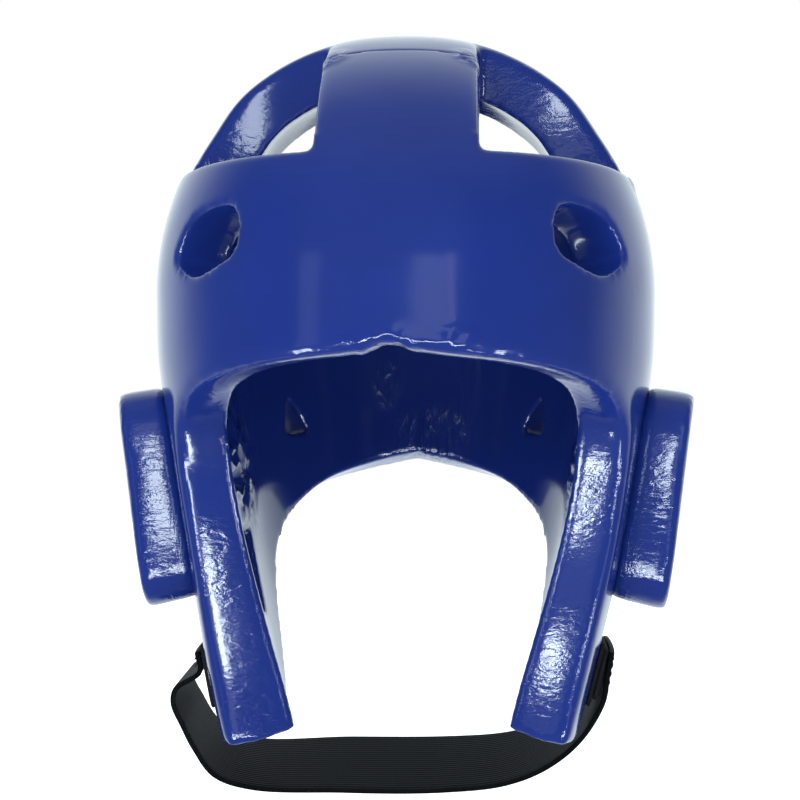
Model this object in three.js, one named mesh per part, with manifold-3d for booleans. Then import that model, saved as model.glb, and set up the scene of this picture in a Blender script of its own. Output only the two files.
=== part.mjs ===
// Taekwondo headgear: an open-faced helmet of thick dipped foam with a plus-shaped crown pad, two ear pads and an elastic chin strap.
// Millimetres, +Z up, the face looks along -Y. The origin is where the top of the wearer's head touches the crown pad.
// The foam wall is drawn like a sheet wrapped round the head: a place on it is an angle from the front centre line,
// a height, and a depth below the outer skin, and every cut runs square through the sheet, as a die cuts it.
import * as THREE from "three";
import { mergeVertices } from "three/addons/utils/BufferGeometryUtils.js";
import Module from "manifold-3d";

const wasm = await Module();
wasm.setup();

// Foam wall
const bandFoam = 20; // wall of the band and the cheek guards
const crownFoam = 16.5; // wall of the crown pad and of the tongues where they meet it
const jointGap = 0.3; // between pieces that are bonded or pressed together

// Outside of the shell
const templeWidth = 192; // across the widest level
const browReach = 117; // from the upright axis to the forehead
const napeReach = 117; // from the upright axis to the back
const planPower = 2.4; // 2 is an ellipse, more is squarer
const crownRise = 101; // from the widest level up to the top of the crown
const bandRise = 43; // from the widest level up to the band's top edge
const browDrop = 26; // from the widest level down to the brow edge
const napeDrop = 68; // from the widest level down to the nape edge
const cheekDrop = 165; // from the widest level down to the ends of the cheek guards

// Crown
const crownPower = 1.95; // with the next, the roundness of the upright sections above the widest level
const crownRoot = 2.15;
const tongueWidth = 55.5; // forehead and back tongues
const armSet = 2; // the side arms lie this much below the band's skin
const openingCorner = 4; // radius where a tongue rises from the band
const crownFront = 66; // from the axis to the joint with the forehead tongue
const crownBack = 46; // from the axis to the joint with the back tongue
const armFront = 35; // from the axis to the front face of the side arms
const armBack = 12; // from the axis to the back face of the side arms

// Ear openings, ear pads and the holes through them
const earAngle = 88; // degrees from the front centre line
const earOpeningTop = 48; // below the widest level
const earOpeningLength = 60;
const earOpeningWidth = 54;
const earPadTop = 35; // below the widest level
const earPadLength = 80;
const earPadWidth = 79;
const earPadTopFoam = 17; // the pad's thickness along its top
const earPadLowFoam = 20.5; // and along its bottom
const earPocketDepth = 7;
const earHoleLength = 34;
const earHoleWidth = 24;

// Chin strap and its fastening
const strapWidth = 40;
const strapThick = 2;
const patchThick = 1.5; // looped patch on the foam
const tabThick = 1.5; // hooked tab under the strap's left end
const patchLength = 24;
const patchMargin = 2; // from the patch's top down to the tab's
const tabLength = 19;
const strapAngle = 82; // degrees from the front centre line
const patchTop = 132; // below the widest level
const strapHang = 48; // from the strap's ends down to its lowest run

const waist = crownFoam - crownRise; // the widest level
const bandTop = waist + bandRise;
const browEdge = waist - browDrop;
const napeEdge = waist - napeDrop;
const cheekEnd = waist - cheekDrop;

// Outside sections below the widest level. drop is a share of cheekDrop, the others of half templeWidth, browReach and napeReach.
const sections = [
  { drop: 0.0, width: 1.0, front: 1.0, back: 1.0 },
  { drop: 0.15, width: 0.992, front: 1.005, back: 1.0 },
  { drop: 0.3, width: 0.955, front: 1.0, back: 0.985 },
  { drop: 0.45, width: 0.915, front: 0.985, back: 0.94 },
  { drop: 0.6, width: 0.868, front: 0.97, back: 0.88 },
  { drop: 0.8, width: 0.787, front: 0.94, back: 0.81 },
  { drop: 1.0, width: 0.7, front: 0.915, back: 0.74 },
  { drop: 1.1, width: 0.655, front: 0.9, back: 0.71 },
];

// Face opening from the notch over the nose to the end of a cheek guard. drop is a share from browEdge to cheekEnd.
const faceEdge = [
  { angle: 0, drop: -0.022 },
  { angle: 9, drop: -0.004 },
  { angle: 18, drop: 0.01 },
  { angle: 27, drop: 0.03 },
  { angle: 36, drop: 0.062 },
  { angle: 44, drop: 0.108 },
  { angle: 49.5, drop: 0.165 },
  { angle: 52, drop: 0.25 },
  { angle: 52, drop: 0.42 },
  { angle: 50, drop: 0.62 },
  { angle: 47, drop: 0.82 },
  { angle: 43.5, drop: 1.0 },
  { angle: 41, drop: 1.12 },
];

// Lower edge from the end of a cheek guard round to the notch at the nape. drop is a share from napeEdge to cheekEnd.
const neckEdge = [
  { angle: 36, drop: 1.0 },
  { angle: 50, drop: 1.0 },
  { angle: 66, drop: 0.985 },
  { angle: 82, drop: 0.93 },
  { angle: 96, drop: 0.8 },
  { angle: 108, drop: 0.62 },
  { angle: 118, drop: 0.445 },
  { angle: 129, drop: 0.31 },
  { angle: 141, drop: 0.21 },
  { angle: 154, drop: 0.12 },
  { angle: 167, drop: 0.055 },
  { angle: 180, drop: 0.0 },
  { angle: 187, drop: 0.03 },
];

// Vents on each side. rise is measured up from the widest level, turn is the tip's direction, 0 towards the back and 90 up.
const vents = [
  { angle: 36.5, rise: 14, length: 37, width: 22, turn: -14 },
  { angle: 82, rise: 16, length: 33, width: 22, turn: -40 },
  { angle: 104, rise: -16, length: 24, width: 15, turn: 80 },
  { angle: 141, rise: -51, length: 20, width: 18, turn: 90 },
];

// Free run of the chin strap from the right side to the left. across is a share of half the distance between its ends,
// down of strapHang, forward of strapWidth, and lean is how far its rear edge is turned up, in degrees.
const strapRun = [
  { across: -1.075, down: 0.27, forward: 0.0, lean: 3 },
  { across: -1.085, down: 0.37, forward: 0.01, lean: 4 },
  { across: -1.03, down: 0.54, forward: 0.02, lean: 6 },
  { across: -0.97, down: 0.71, forward: 0.02, lean: 8 },
  { across: -0.88, down: 0.89, forward: 0.03, lean: 11 },
  { across: -0.71, down: 0.98, forward: 0.03, lean: 14 },
  { across: -0.3, down: 1.0, forward: 0.04, lean: 17 },
  { across: 0.2, down: 0.99, forward: 0.04, lean: 17 },
  { across: 0.5, down: 0.94, forward: 0.04, lean: 15 },
  { across: 0.7, down: 0.83, forward: 0.03, lean: 11 },
  { across: 0.85, down: 0.66, forward: 0.02, lean: 6 },
];

const degree = Math.PI / 180;
const throughFoam = 12; // how far a cutter stands out of both faces of the wall
const beyondFoam = 40; // how far a cutter stands out of the ear pads
const beyond = 400; // a length past the whole helmet

// Reads a table at one value of its key column, with a smooth cubic between its rows.
function readTable(table, key, value) {
  const last = table.length - 2;
  let i = table.findIndex((row) => row[key] > value) - 1;
  if (i < 0) i = value < table[0][key] ? 0 : last;
  const [a, b] = [table[i], table[i + 1]];
  const before = table[Math.max(i - 1, 0)];
  const after = table[Math.min(i + 2, last + 1)];
  const span = b[key] - a[key];
  const t = THREE.MathUtils.clamp((value - a[key]) / span, 0, 1);
  const row = {};
  for (const column of Object.keys(a)) {
    const slopeIn = ((b[column] - before[column]) / (b[key] - before[key])) * span;
    const slopeOut = ((after[column] - a[column]) / (after[key] - a[key])) * span;
    row[column] =
      (2 * t ** 3 - 3 * t ** 2 + 1) * a[column] +
      (t ** 3 - 2 * t ** 2 + t) * slopeIn +
      (3 * t ** 2 - 2 * t ** 3) * b[column] +
      (t ** 3 - t ** 2) * slopeOut;
  }
  return row;
}

// Half width, front reach and back reach of the outside at a height.
function sectionAt(height) {
  if (height >= waist) {
    const climb = Math.min((height - waist) / crownRise, 1);
    const scale = (1 - climb ** crownPower) ** (1 / crownRoot);
    return { width: (scale * templeWidth) / 2, front: scale * browReach, back: scale * napeReach };
  }
  const row = readTable(sections, "drop", (waist - height) / cheekDrop);
  return { width: (row.width * templeWidth) / 2, front: row.front * browReach, back: row.back * napeReach };
}

// Zero on the outside of the shell, negative inside it.
function outsideLevel(x, y, z) {
  const s = sectionAt(z);
  const reach = y < 0 ? s.front : s.back;
  return (Math.abs(x) / s.width) ** planPower + (Math.abs(y) / reach) ** planPower - 1;
}

function outsidePoint(angle, height) {
  const s = sectionAt(height);
  const sin = Math.sin(angle * degree);
  const cos = Math.cos(angle * degree);
  const reach = cos > 0 ? s.front : s.back;
  const radius =
    ((Math.abs(sin) / s.width) ** planPower + (Math.abs(cos) / reach) ** planPower) ** (-1 / planPower);
  const x = Math.abs(sin) < 1e-9 ? 0 : radius * sin;
  return new THREE.Vector3(x, -radius * cos, height);
}

function outsideNormal(p) {
  const step = 0.05;
  const slope = (axis) => {
    const a = p.clone();
    const b = p.clone();
    a[axis] -= step;
    b[axis] += step;
    return outsideLevel(b.x, b.y, b.z) - outsideLevel(a.x, a.y, a.z);
  };
  return new THREE.Vector3(p.x === 0 ? 0 : slope("x"), slope("y"), slope("z")).normalize();
}

// A point of the wall. Depth is measured square to the outer skin, inwards.
function wallPoint(angle, height, depth) {
  if (height > waist + crownRise - 0.01) return new THREE.Vector3(0, 0, waist + crownRise - depth);
  const p = outsidePoint(angle, height);
  return p.addScaledVector(outsideNormal(p), -depth);
}

function wallThickness(height) {
  const climb = THREE.MathUtils.smoothstep(height, bandTop, 0);
  return THREE.MathUtils.lerp(bandFoam, crownFoam, climb);
}

// A closed solid from a grid of points on two faces. pointAt takes a column, a row and a side, 0 or 1.
function gridGeometry(columns, rows, pointAt) {
  const positions = [];
  for (const side of [0, 1])
    for (let j = 0; j <= rows; j++)
      for (let i = 0; i <= columns; i++) positions.push(...pointAt(i, j, side).toArray());
  const at = (i, j, side) => (side * (rows + 1) + j) * (columns + 1) + i;
  const index = [];
  const quad = (a, b, c, d) => index.push(a, b, c, a, c, d);
  for (let j = 0; j < rows; j++)
    for (let i = 0; i < columns; i++) {
      quad(at(i, j, 0), at(i + 1, j, 0), at(i + 1, j + 1, 0), at(i, j + 1, 0));
      quad(at(i, j, 1), at(i, j + 1, 1), at(i + 1, j + 1, 1), at(i + 1, j, 1));
    }
  for (let i = 0; i < columns; i++) {
    quad(at(i, 0, 0), at(i, 0, 1), at(i + 1, 0, 1), at(i + 1, 0, 0));
    quad(at(i, rows, 0), at(i + 1, rows, 0), at(i + 1, rows, 1), at(i, rows, 1));
  }
  for (let j = 0; j < rows; j++) {
    quad(at(0, j, 0), at(0, j + 1, 0), at(0, j + 1, 1), at(0, j, 1));
    quad(at(columns, j, 0), at(columns, j, 1), at(columns, j + 1, 1), at(columns, j + 1, 0));
  }
  const geometry = new THREE.BufferGeometry();
  geometry.setAttribute("position", new THREE.Float32BufferAttribute(positions, 3));
  geometry.setIndex(index);
  return geometry;
}

// A closed geometry as a solid that can be cut and joined, whichever way its faces were wound.
function solidOf(geometry) {
  const plain = geometry.clone();
  plain.deleteAttribute("normal");
  plain.deleteAttribute("uv");
  const merged = mergeVertices(plain, 1e-4);
  const source = merged.index.array;
  const p = merged.attributes.position;
  const corners = [];
  let volume = 0;
  for (let i = 0; i < source.length; i += 3) {
    const [a, b, c] = [source[i], source[i + 1], source[i + 2]];
    if (a === b || b === c || c === a) continue;
    corners.push(a, b, c);
    const [va, vb, vc] = [a, b, c].map((k) => new THREE.Vector3().fromBufferAttribute(p, k));
    volume += va.dot(vb.cross(vc));
  }
  if (volume < 0)
    for (let i = 0; i < corners.length; i += 3) [corners[i + 1], corners[i + 2]] = [corners[i + 2], corners[i + 1]];
  return new wasm.Manifold(
    new wasm.Mesh({
      numProp: 3,
      vertProperties: p.array,
      triVerts: new Uint32Array(corners),
    }),
  );
}

function geometryOf(solid) {
  const mesh = solid.getMesh();
  const geometry = new THREE.BufferGeometry();
  geometry.setAttribute("position", new THREE.BufferAttribute(mesh.vertProperties, 3));
  geometry.setIndex(new THREE.BufferAttribute(mesh.triVerts, 1));
  geometry.computeVertexNormals();
  return geometry;
}

function mirrored(solid) {
  const geometry = geometryOf(solid);
  geometry.scale(-1, 1, 1);
  return solidOf(geometry);
}

function box(x, y, z) {
  const geometry = new THREE.BoxGeometry(x[1] - x[0], y[1] - y[0], z[1] - z[0]);
  geometry.translate((x[0] + x[1]) / 2, (y[0] + y[1]) / 2, (z[0] + z[1]) / 2);
  return solidOf(geometry);
}

// How far the crown pad's skin lies below the shell's: its arms are set in, its middle is flush.
function crownSet(height) {
  return armSet * (1 - THREE.MathUtils.smoothstep(height, bandTop + crownFoam, bandTop + 2 * crownFoam + armSet));
}

// The wall of one half, from a height up to the middle of the crown, with its skin at a depth.
function halfWall(low, skinDepth) {
  const columns = 28;
  const rowsBelow = low < waist ? 11 : 0;
  const rowsAbove = 10;
  const start = Math.asin(Math.max(low - waist, 0) / crownRise);
  const heightAt = (j) => {
    if (j < rowsBelow) return THREE.MathUtils.lerp(low, waist, j / rowsBelow);
    const climb = (j - rowsBelow) / rowsAbove;
    return waist + crownRise * Math.sin(THREE.MathUtils.lerp(start, Math.PI / 2, climb));
  };
  return gridGeometry(columns, rowsBelow + rowsAbove, (i, j, side) => {
    const height = heightAt(j);
    const skin = skinDepth(height);
    return wallPoint((180 * i) / columns, height, side ? Math.max(skin + crownFoam, wallThickness(height)) : skin);
  });
}

// A straight cut through the wall whose outline is a list of places, each an angle and a height.
function wallPrism(outline, outer = -throughFoam, inner = bandFoam + throughFoam) {
  const flat = outline.map(([angle, height]) => new THREE.Vector2(angle, height));
  if (THREE.ShapeUtils.isClockWise(flat)) flat.reverse();
  const count = flat.length;
  const positions = [outer, inner].flatMap((depth) =>
    flat.flatMap((p) => wallPoint(p.x, p.y, depth).toArray()),
  );
  const index = [];
  for (const [a, b, c] of THREE.ShapeUtils.triangulateShape(flat, []))
    index.push(a, b, c, count + a, count + c, count + b);
  for (let i = 0; i < count; i++) {
    const next = (i + 1) % count;
    index.push(i, count + i, count + next, i, count + next, next);
  }
  const geometry = new THREE.BufferGeometry();
  geometry.setAttribute("position", new THREE.Float32BufferAttribute(positions, 3));
  geometry.setIndex(index);
  return solidOf(geometry);
}

// Smooth samples of an edge table as [angle, height], from one end to the other.
function edgeSamples(table, top, count) {
  const curve = new THREE.SplineCurve(
    table.map((row) => new THREE.Vector2(row.angle, top - row.drop * (top - cheekEnd))),
  );
  return curve.getSpacedPoints(count);
}

// Everything inside the face opening on one side of the centre line.
function faceCutter() {
  const edge = edgeSamples(faceEdge, browEdge, 27);
  const columns = 8;
  const past = -6;
  return solidOf(
    gridGeometry(columns, edge.length - 1, (i, j, side) => {
      const angle = THREE.MathUtils.lerp(past, edge[j].x, i / columns);
      return wallPoint(angle, edge[j].y, side ? bandFoam + throughFoam : -throughFoam);
    }),
  );
}

// Everything below the lower edge of the shell on one side.
function neckCutter() {
  const edge = edgeSamples(neckEdge, napeEdge, 28);
  const rows = 3;
  const low = cheekEnd - throughFoam;
  return solidOf(
    gridGeometry(edge.length - 1, rows, (i, j, side) => {
      const height = THREE.MathUtils.lerp(low, edge[i].y, j / rows);
      return wallPoint(edge[i].x, height, side ? bandFoam + throughFoam : -throughFoam);
    }),
  );
}

// Degrees of wrap that a length along the skin takes at an angle and height.
function degreesFor(length, angle, height) {
  const p = outsidePoint(angle, height);
  return length / Math.hypot(p.x, p.y) / degree;
}

// A vent's outline: round at one end and drawn to a tip at the other.
function ventOutline({ angle, rise, length, width, turn }) {
  const height = waist + rise;
  const points = 18;
  const outline = [];
  for (let k = 0; k < points; k++) {
    const t = (2 * Math.PI * k) / points;
    const along = (length / 2) * Math.cos(t);
    const aside = (width / 2) * Math.sin(t) * (1 - 0.55 * Math.cos(t) ** 3);
    const back = along * Math.cos(turn * degree) - aside * Math.sin(turn * degree);
    const up = along * Math.sin(turn * degree) + aside * Math.cos(turn * degree);
    outline.push([angle + degreesFor(back, angle, height), height + up]);
  }
  return outline;
}

// A shape with rounded corners, drawn flat with x towards the back and y up, as places on the wall round an angle.
function roundedOutline(corners, radius, centreAngle, steps = 5) {
  const path = new THREE.Path();
  const count = corners.length;
  corners.forEach(([x, y], k) => {
    const here = new THREE.Vector2(x, y);
    const before = new THREE.Vector2(...corners[(k + count - 1) % count]);
    const after = new THREE.Vector2(...corners[(k + 1) % count]);
    const enter = here.clone().add(before.sub(here).setLength(radius));
    const leave = here.clone().add(after.sub(here).setLength(radius));
    if (k === 0) path.moveTo(enter.x, enter.y);
    else path.lineTo(enter.x, enter.y);
    path.quadraticCurveTo(here.x, here.y, leave.x, leave.y);
  });
  path.closePath();
  return path
    .getPoints(steps)
    .slice(0, -1)
    .map((p) => [centreAngle + degreesFor(p.x, centreAngle, p.y), p.y]);
}

// Corners of an upright trapezoid, wide at the top, as [x, y] with the top at a height.
function trapezoid(top, length, topWidth, lowWidth, sweep) {
  const low = top - length;
  return [
    [-topWidth / 2, top],
    [sweep - lowWidth / 2, low],
    [sweep + lowWidth / 2, low],
    [topWidth / 2, top],
  ];
}

const earSweep = -6; // the lower end of the opening and the pad lies further forward than the top
const earTaper = 0.24; // width of the ear opening's lower end, as a share of its top
const padTaper = 0.78; // the same for the ear pad

function earOpening() {
  const corners = trapezoid(
    waist - earOpeningTop,
    earOpeningLength,
    earOpeningWidth,
    earOpeningWidth * earTaper,
    earSweep,
  );
  return wallPrism(roundedOutline(corners, earOpeningWidth * 0.11, earAngle));
}

function headShell() {
  const reach = [-beyond, beyond];
  const aside = tongueWidth / 2;
  const corner = new THREE.Shape();
  corner.moveTo(aside, bandTop + openingCorner);
  corner.absarc(aside + openingCorner, bandTop + openingCorner, openingCorner, Math.PI, 1.5 * Math.PI);
  corner.lineTo(beyond, bandTop);
  corner.lineTo(beyond, beyond);
  corner.lineTo(aside, beyond);
  corner.closePath();
  const opening = new THREE.ExtrudeGeometry(corner, { depth: 2 * beyond, bevelEnabled: false, curveSegments: 4 });
  opening.rotateX(Math.PI / 2);
  opening.translate(0, beyond, 0);
  let half = solidOf(halfWall(cheekEnd - throughFoam / 2, () => 0))
    .subtract(solidOf(opening))
    .subtract(box(reach, [-crownFront - jointGap, crownBack + jointGap], [bandTop, beyond]))
    .subtract(faceCutter())
    .subtract(neckCutter())
    .subtract(earOpening());
  for (const vent of vents) half = half.subtract(wallPrism(ventOutline(vent)));
  return half.add(mirrored(half));
}

// The plus-shaped pad over the top of the head.
function crownPad() {
  const aside = tongueWidth / 2;
  const reach = [-beyond, beyond];
  const above = [bandTop + jointGap, beyond];
  const wall = solidOf(halfWall(bandTop - bandFoam, crownSet));
  const arms = wall.intersect(box(reach, [-armFront, armBack], above));
  const spine = wall.intersect(box([-beyond, aside], [-crownFront, crownBack], above));
  const half = arms.add(spine);
  return half.add(mirrored(half));
}

// A block on the outside of the shell, over a range of angles and heights, between two depths that may change with height.
function outerBlock(angles, heights, near, far) {
  const columns = 6;
  const rows = 4;
  return solidOf(
    gridGeometry(columns, rows, (i, j, side) => {
      const height = THREE.MathUtils.lerp(...heights, j / rows);
      return wallPoint(THREE.MathUtils.lerp(...angles, i / columns), height, side ? near(height) : far(height));
    }),
  );
}

// Trims such a block to an outline and mirrors it for the wearer's right.
function trimmed(outline, near, far, side) {
  const angles = outline.map(([angle]) => angle);
  const heights = outline.map(([, height]) => height);
  const spread = 4;
  const block = outerBlock(
    [Math.min(...angles) - spread, Math.max(...angles) + spread],
    [Math.min(...heights) - spread, Math.max(...heights) + spread],
    near,
    far,
  );
  const solid = block.intersect(wallPrism(outline, -beyondFoam, throughFoam));
  return side > 0 ? solid : mirrored(solid);
}

function earPad(side) {
  const top = waist - earPadTop;
  const outline = (inset, radius) => {
    const lowWidth = earPadWidth * padTaper - 2 * inset;
    const corners = trapezoid(top - inset, earPadLength - 2 * inset, earPadWidth - 2 * inset, lowWidth, earSweep);
    return roundedOutline(corners, radius, earAngle);
  };
  const foam = (height) =>
    THREE.MathUtils.mapLinear(height, top, top - earPadLength, earPadTopFoam, earPadLowFoam);
  const block = trimmed(outline(0, 15), () => -jointGap, (height) => -jointGap - foam(height), side);
  const pocketInset = (earPadWidth - earOpeningWidth) / 2 + 2;
  const pocket = trimmed(outline(pocketInset, 10), () => throughFoam, () => -jointGap - earPocketDepth, side);
  const middle = top - earPadLength / 2;
  const hole = [];
  const points = 20;
  for (let k = 0; k < points; k++) {
    const t = (2 * Math.PI * k) / points;
    const back = (earHoleWidth / 2) * Math.cos(t) + earSweep / 2;
    hole.push([earAngle + degreesFor(back, earAngle, middle), middle + (earHoleLength / 2) * Math.sin(t)]);
  }
  const bore = wallPrism(hole, -beyondFoam, throughFoam);
  return block.subtract(pocket).subtract(side > 0 ? bore : mirrored(bore));
}

// A rectangle of webbing on the outside of a cheek guard, from a height downwards.
function fasteningOutline(top, length) {
  return roundedOutline(trapezoid(top, length, strapWidth, strapWidth, 0), 4, strapAngle, 3);
}

function anchorPatch(side) {
  const outline = fasteningOutline(waist - patchTop, patchLength);
  return trimmed(outline, () => -jointGap, () => -jointGap - patchThick, side);
}

function strapTab() {
  const near = -2 * jointGap - patchThick;
  const outline = fasteningOutline(waist - patchTop - patchMargin, tabLength);
  return trimmed(outline, () => near, () => near - tabThick, 1);
}

// The webbing of the chin strap. Its ends lie on the fastenings and the rest hangs free.
function chinStrap() {
  const columns = 4;
  const steps = 36;
  const top = waist - patchTop - patchMargin;
  const gripRight = [0, 0.4];
  const gripLeft = [1, 0.5, 0];
  const easing = 1.2; // the webbing lifts a little from its fastening towards the free run
  const onWall = (side, share, depth) => (c) => {
    const height = top - share * tabLength;
    const angle = strapAngle + degreesFor(c * strapWidth, strapAngle, height);
    const p = wallPoint(angle, height, -depth - share * easing - strapThick / 2);
    return p.setX(side * p.x);
  };
  const anchor = onWall(1, 0, 2 * jointGap + patchThick)(0);
  const free = (row) => (c) => {
    const lean = row.lean * degree;
    return new THREE.Vector3(
      row.across * anchor.x,
      anchor.y - row.forward * strapWidth + Math.cos(lean) * c * strapWidth,
      anchor.z - row.down * strapHang + Math.sin(lean) * c * strapWidth,
    );
  };
  const stations = [
    ...gripRight.map((share) => onWall(-1, share, 2 * jointGap + patchThick)),
    ...strapRun.map(free),
    ...gripLeft.map((share) => onWall(1, share, 3 * jointGap + patchThick + tabThick)),
  ];
  const runs = [];
  for (let i = 0; i <= columns; i++)
    runs.push(new THREE.CatmullRomCurve3(stations.map((station) => station(i / columns - 0.5)), false, "centripetal"));
  const middle = (i, j) => {
    const run = runs[THREE.MathUtils.clamp(i, 0, columns)];
    return run.getPoint(THREE.MathUtils.clamp(j, 0, steps) / steps);
  };
  return solidOf(
    gridGeometry(columns, steps, (i, j, side) => {
      const along = middle(i, j + 1).sub(middle(i, j - 1));
      const across = middle(i + 1, j).sub(middle(i - 1, j));
      const out = along.cross(across).normalize();
      return middle(i, j).addScaledVector(out, (side - 0.5) * strapThick);
    }),
  );
}

const dippedBlue = new THREE.MeshStandardMaterial({ color: 0x14258f, roughness: 0.18, metalness: 0 });
const blackWebbing = new THREE.MeshStandardMaterial({ color: 0x0b0d12, roughness: 0.85, metalness: 0 });
const blackHook = new THREE.MeshStandardMaterial({ color: 0x08090c, roughness: 0.95, metalness: 0 });

const headgear = new THREE.Group();

function addPiece(name, solid, material) {
  const mesh = new THREE.Mesh(geometryOf(solid), material);
  mesh.name = name;
  headgear.add(mesh);
}

// The wearer's left is +X.
addPiece("head_shell", headShell(), dippedBlue);
addPiece("crown_pad", crownPad(), dippedBlue);
for (const [name, side] of [["left", 1], ["right", -1]]) {
  addPiece(`ear_pad_${name}`, earPad(side), dippedBlue);
  addPiece(`anchor_patch_${name}`, anchorPatch(side), blackHook);
}
addPiece("strap_tab", strapTab(), blackHook);
addPiece("chin_strap", chinStrap(), blackWebbing);

export default headgear;
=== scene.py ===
# Taekwondo headgear of dipped foam: a glossy blue shell with a plus-shaped crown pad, ear pads and a black
# chin strap. The foam is drawn in millimetres as a wall round the head, and every finished piece is in metres
# at the origin.
import math

import bpy
import numpy as np
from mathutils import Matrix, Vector
from mathutils.kdtree import KDTree
from mathutils.noise import noise as noise_at


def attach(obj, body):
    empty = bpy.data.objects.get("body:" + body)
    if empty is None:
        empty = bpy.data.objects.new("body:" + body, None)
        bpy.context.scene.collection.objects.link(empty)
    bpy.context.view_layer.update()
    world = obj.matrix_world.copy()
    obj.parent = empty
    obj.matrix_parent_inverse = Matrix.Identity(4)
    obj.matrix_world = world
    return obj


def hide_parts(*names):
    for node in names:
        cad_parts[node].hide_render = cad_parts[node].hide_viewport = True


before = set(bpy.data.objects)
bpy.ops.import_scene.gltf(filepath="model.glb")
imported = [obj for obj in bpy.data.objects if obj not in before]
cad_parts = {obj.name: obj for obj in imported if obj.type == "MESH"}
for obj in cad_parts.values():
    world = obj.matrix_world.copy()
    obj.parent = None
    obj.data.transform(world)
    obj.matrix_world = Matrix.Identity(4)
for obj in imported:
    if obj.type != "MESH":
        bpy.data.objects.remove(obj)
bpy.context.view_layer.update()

# All sizes are in millimetres and degrees unless they say otherwise.

# Foam wall
band_foam = 20
crown_foam = 16.5
joint_gap = 0.3
cheek_swell = 3  # extra foam inside the ends of the cheek guards
arm_swell = 3  # extra foam inside the crown's arms
cheek_spread = 4.5  # how far the wearer's right cheek guard hangs out
cheek_lowering = 2  # and down

# Outside of the shell
temple_width = 192  # across the waist, which is the widest level
brow_reach = 117  # from the upright axis to the forehead
nape_reach = 117  # from the upright axis to the back
plan_power = 2.4  # 2 is an ellipse, more is squarer
crown_rise = 101  # from the waist up to the top of the crown
crown_power = 1.95  # with the next, the roundness above the waist
crown_root = 2.15
band_rise = 43  # from the waist up to the band's top edge
brow_drop = 26  # from the waist down to the brow, the nape and the ends of the cheek guards
nape_drop = 68
cheek_drop = 165
spare_foam = 6  # below the cheek guards' ends, cut off again

# Crown
arm_set = 2  # the side arms lie this much below the band's skin
tongue_width = 55.5  # forehead and back tongues
crown_front = 66  # from the axis to the joint with the forehead tongue
crown_back = 46
arm_front = 35  # from the axis to the front and back faces of the side arms
arm_back = 12
crown_start = 26  # the crown pad's sheet starts this much below the band's top edge,
crown_seat = 1.5  # and its arms are cut off this much below that edge
crown_bed = 2  # above the band's top edge, where the shell ends under the crown pad

# Ear openings and ear pads
ear_angle = 88
ear_sweep = -6
ear_opening_top = 48
ear_opening_length = 66
ear_opening_width = 54
ear_opening_taper = 0.24  # lower width as a share of the upper one
ear_opening_corner = 8
ear_pad_top = 35
ear_pad_length = 80
ear_pad_width = 79
ear_pad_taper = 0.78
ear_pad_top_foam = 17
ear_pad_low_foam = 20.5
ear_pad_corner = 15
ear_pad_bed = 0.8  # the pad is let into the skin by this much
ear_hole_length = 34
ear_hole_width = 24
ear_hole_cut = (14, -44)  # depths that its cutter runs between
recess_depth = 8
recess_corner = 2.5

# The recess that runs on below each ear opening inside: corners towards the back and up.
recess_corners = [(-17.48, -179.5), (-15, -212), (-9, -212), (7.48, -179.5)]

# Chin strap and its fastening
strap_width = 40
strap_thick = 2
patch_thick = 1.5
tab_thick = 1.5
patch_length = 24
patch_margin = 2
tab_length = 19
strap_angle = 82
patch_top = 132
strap_hang = 48
grip_lift = 1.2  # how far a strap end lifts off its patch towards the lower edge
tape_corner = 4

# Stitching
stitch_inset = 3  # from the edges of the tape
stitch_pitch = 3
stitch_share = 0.78  # of the pitch that shows as thread
thread_size = (0.34, 0.3)  # half its width and half its height

# Cutters run between these two depths of the wall, and the plain blocks reach this far aside and up.
outside_cut = -12
inside_cut = 34
block_reach = 200
block_top = 60

# Making the foam's skin: the grain of the remeshing in metres, and how long the edges are smoothed
foam_grain = 0.00125
foam_rounds = 10
pad_grain = 0.0012
pad_rounds = 55
overlap = 2.5  # of the crown pad and the shell, whose joint is closed under one film

# Rolled edges: reach, strength and rounds of smoothing. The outer face edge gets more over the brow.
outer_roll = (10, 0.75, 55)
brow_roll = (4, 0.25)
inner_roll = (9, 0.6, 30)
crown_roll = (7, 0.8, 30)

waist = crown_foam - crown_rise
band_top = waist + band_rise
brow_edge = waist - brow_drop
nape_edge = waist - nape_drop
cheek_end = waist - cheek_drop

# Columns: drop as a share of cheek_drop, then width, front and back as shares of the sizes above.
sections = np.array([
    (0.0, 1.0, 1.0, 1.0),
    (0.15, 0.992, 1.005, 1.0),
    (0.3, 0.955, 1.0, 0.985),
    (0.45, 0.915, 0.985, 0.94),
    (0.6, 0.868, 0.97, 0.88),
    (0.8, 0.787, 0.94, 0.81),
    (1.0, 0.7, 0.915, 0.74),
    (1.1, 0.655, 0.9, 0.71),
])

# Columns: angle in degrees from the front, and drop as a share from brow_edge to cheek_end.
face_edge = np.array([
    (0, -0.022), (9, -0.004), (18, 0.01), (27, 0.03), (36, 0.062), (44, 0.108), (49.5, 0.165),
    (52, 0.25), (52, 0.42), (50, 0.62), (47, 0.82), (43.5, 1.0), (41, 1.12),
])

# Columns: angle, and drop as a share from nape_edge to cheek_end.
neck_edge = np.array([
    (36, 1.0), (50, 1.0), (66, 0.985), (82, 0.93), (96, 0.8), (108, 0.62), (118, 0.445),
    (129, 0.31), (141, 0.21), (154, 0.12), (167, 0.055), (180, 0.0),
])

# Columns: angle, rise above the waist, length, width, and the direction of the tip.
vents = [
    (36.5, 14, 37, 22, -14),
    (82, 16, 33, 22, -40),
    (104, -16, 24, 15, 80),
]

# The rear vents are rounded triangles: angle and rise of the middle, and corners towards the back and up.
rear_vent = (141, -51)
rear_vent_corners = [(-5, 10.5), (-9.5, -7.5), (10.5, -7.5)]
rear_vent_corner = 4

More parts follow.
